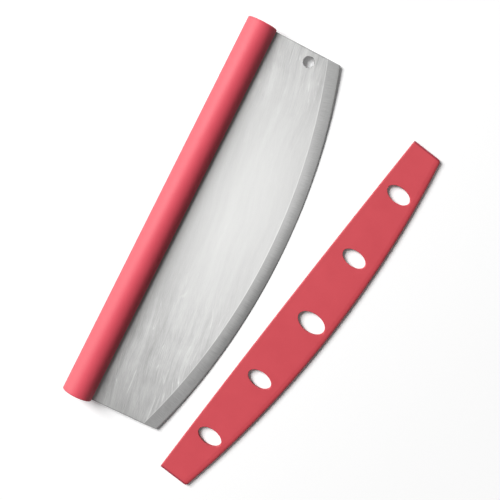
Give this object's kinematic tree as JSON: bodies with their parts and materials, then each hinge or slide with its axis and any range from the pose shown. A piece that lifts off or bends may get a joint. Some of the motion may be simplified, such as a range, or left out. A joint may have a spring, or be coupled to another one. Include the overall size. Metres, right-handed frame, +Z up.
{
  "type": "rocking pizza knife",
  "caption": "Long rocking pizza knife with an arched stainless blade under a round soft handle, and a slotted plastic blade guard laid beside it.",
  "frame": {"origin": "centre of the overall box on the floor plane that the knife and its guard lie on", "axes": "+X along the handle towards the end of the blade with the hanging hole, +Y away from the cutting edge, +Z up from the floor"},
  "size_m": [0.38, 0.1992, 0.0264],
  "materials": {
    "blade_steel": "brushed stainless sheet with a ground bevel",
    "core_plastic": "plain moulded, hidden inside the grip",
    "pin_steel": "plain turned steel, hidden inside the grip",
    "grip": "coral red, soft-touch satin",
    "guard": "coral red, matt moulded"
  },
  "bodies": {
    "knife": {"blade": "blade_steel", "core_upper_half": "core_plastic", "core_lower_half": "core_plastic", "tang_pins": "pin_steel", "grip_sleeve": "grip", "end_cap_hole_end": "grip", "end_cap_plain_end": "grip"},
    "guard": {"blade_guard": "guard"}
  },
  "joints": [
    {"name": "guard_slide", "type": "slide", "parent": "knife", "child": "guard", "axis": [-0.1901, -0.9818, 0], "range_m": [-0.014, 0.046]}
  ]
}
